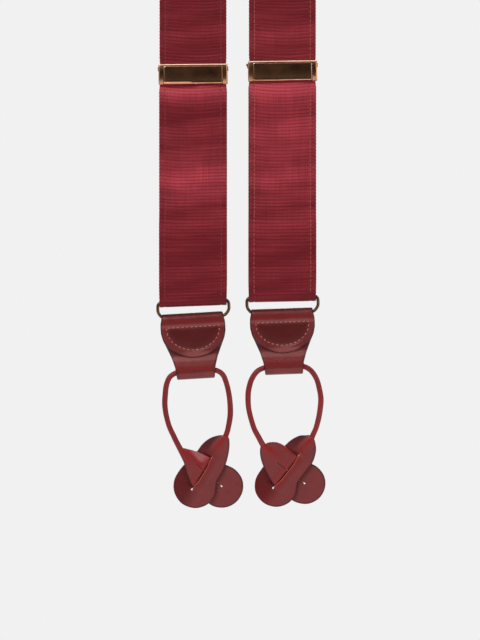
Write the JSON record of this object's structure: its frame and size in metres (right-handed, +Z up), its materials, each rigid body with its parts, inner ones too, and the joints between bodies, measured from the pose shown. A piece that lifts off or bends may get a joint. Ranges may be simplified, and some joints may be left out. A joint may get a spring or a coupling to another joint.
{
  "type": "suspenders",
  "caption": "Ribbed ribbon suspenders hung over a rail, with brass lever adjusters, wire rings, leather ends, rolled runners with button tabs, and an elastic back strap",
  "frame": {"origin": "on the axis of the rail that the straps hang over, midway between the two straps", "axes": "+Z up, +X to the right seen from the front, and the front of the straps faces -Y"},
  "size_m": [0.0949, 0.0352, 0.6489],
  "materials": {
    "face_ribbon": "ribbed grosgrain, soft sheen",
    "backing_ribbon": "plain woven ribbon, matt",
    "elastic": "corded elastic webbing, matt",
    "thread": "waxed sewing thread",
    "leather": "semi-gloss, edges burnished dark",
    "rolled_leather": "semi-gloss rolled leather",
    "tab_leather": "semi-gloss, edges burnished dark",
    "brass": "polished",
    "antique_brass": "antiqued, satin"
  },
  "bodies": {
    "harness": {"left_face_ribbon": "face_ribbon", "left_backing_ribbon": "backing_ribbon", "right_face_ribbon": "face_ribbon", "right_backing_ribbon": "backing_ribbon", "back_patch_outer": "leather", "back_patch_inner": "leather", "back_patch_stitching": "thread"},
    "left_drop": {"left_face_ribbon_loop": "face_ribbon", "left_backing_ribbon_loop": "backing_ribbon"},
    "left_adjuster": {"left_adjuster_frame": "brass", "left_adjuster_pin": "brass"},
    "left_lever": {"left_adjuster_lever": "brass"},
    "right_drop": {"right_face_ribbon_loop": "face_ribbon", "right_backing_ribbon_loop": "backing_ribbon"},
    "right_adjuster": {"right_adjuster_frame": "brass", "right_adjuster_pin": "brass"},
    "right_lever": {"right_adjuster_lever": "brass"},
    "back_drop": {"back_elastic": "elastic"},
    "left_ring": {"left_ring": "antique_brass"},
    "left_end": {"left_end_leather": "leather", "left_end_stitching": "thread"},
    "left_runner": {"left_runner_cord": "rolled_leather", "left_slotted_tab": "tab_leather", "left_threaded_tab": "tab_leather"},
    "right_ring": {"right_ring": "antique_brass"},
    "right_end": {"right_end_leather": "leather", "right_end_stitching": "thread"},
    "right_runner": {"right_runner_cord": "rolled_leather", "right_slotted_tab": "tab_leather", "right_threaded_tab": "tab_leather"},
    "back_ring": {"back_ring": "antique_brass"},
    "back_end": {"back_end_leather": "leather", "back_end_stitching": "thread"},
    "back_runner": {"back_runner_cord": "rolled_leather", "back_slotted_tab": "tab_leather", "back_threaded_tab": "tab_leather"}
  },
  "joints": [
    {"name": "left_length", "type": "slide", "parent": "harness", "child": "left_drop", "axis": [0, 0, -1], "range_m": [-0.05, 0.06], "deforming": ["left_face_ribbon_loop", "left_backing_ribbon_loop"]},
    {"name": "left_adjuster_travel", "type": "slide", "parent": "left_drop", "child": "left_adjuster", "axis": [0, 0, -1], "range_m": [-0.05, 0.06]},
    {"name": "left_lever_hinge", "type": "hinge", "parent": "left_adjuster", "child": "left_lever", "pos_m": [-0.02498, -0.0161, -0.388], "axis": [-0.9999, 0, -0.0105], "range_deg": [0, 95]},
    {"name": "right_length", "type": "slide", "parent": "harness", "child": "right_drop", "axis": [0, 0, -1], "range_m": [-0.05, 0.06], "deforming": ["right_face_ribbon_loop", "right_backing_ribbon_loop"]},
    {"name": "right_adjuster_travel", "type": "slide", "parent": "right_drop", "child": "right_adjuster", "axis": [0, 0, -1], "range_m": [-0.05, 0.06]},
    {"name": "right_lever_hinge", "type": "hinge", "parent": "right_adjuster", "child": "right_lever", "pos_m": [0.02503, -0.0161, -0.3862], "axis": [-0.9999, 0, -0.014], "range_deg": [0, 95]},
    {"name": "back_stretch", "type": "slide", "parent": "harness", "child": "back_drop", "axis": [0, 0, -1], "range_m": [0, 0.04], "stiffness_N_per_m": 150, "springref_m": -0.003, "deforming": ["back_elastic"]},
    {"name": "left_ring_swing", "type": "hinge", "parent": "left_drop", "child": "left_ring", "pos_m": [-0.025, -0.0116, -0.5184], "axis": [-0.9988, 0, -0.0489], "range_deg": [-60, 60]},
    {"name": "left_end_swing", "type": "hinge", "parent": "left_ring", "child": "left_end", "pos_m": [-0.02447, -0.0116, -0.52738], "axis": [-0.9982, 0, -0.0593], "range_deg": [-60, 60]},
    {"name": "left_runner_swing", "type": "hinge", "parent": "left_end", "child": "left_runner", "pos_m": [-0.02265, -0.0116, -0.55793], "axis": [-0.9982, 0, -0.0593], "range_deg": [-45, 45]},
    {"name": "right_ring_swing", "type": "hinge", "parent": "right_drop", "child": "right_ring", "pos_m": [0.025, -0.0116, -0.5159], "axis": [-0.9996, 0, -0.0279], "range_deg": [-60, 60]},
    {"name": "right_end_swing", "type": "hinge", "parent": "right_ring", "child": "right_end", "pos_m": [0.02531, -0.0116, -0.5249], "axis": [-0.9994, 0, -0.0349], "range_deg": [-60, 60]},
    {"name": "right_runner_swing", "type": "hinge", "parent": "right_end", "child": "right_runner", "pos_m": [0.02638, -0.0116, -0.55548], "axis": [-0.9994, 0, -0.0349], "range_deg": [-45, 45]},
    {"name": "back_ring_swing", "type": "hinge", "parent": "back_drop", "child": "back_ring", "pos_m": [0, 0.01165, -0.222], "axis": [0.9988, 0, -0.0489], "range_deg": [-3, 60]},
    {"name": "back_end_swing", "type": "hinge", "parent": "back_ring", "child": "back_end", "pos_m": [-0.00053, 0.01165, -0.23098], "axis": [0.9982, 0, -0.0593], "range_deg": [-2, 60]},
    {"name": "back_runner_swing", "type": "hinge", "parent": "back_end", "child": "back_runner", "pos_m": [-0.00235, 0.01165, -0.26153], "axis": [0.9982, 0, -0.0593], "range_deg": [-2, 45]}
  ],
  "couplings": [
    {"joint": "left_adjuster_travel", "follows": "left_length", "ratio": 1},
    {"joint": "right_adjuster_travel", "follows": "right_length", "ratio": 1}
  ]
}
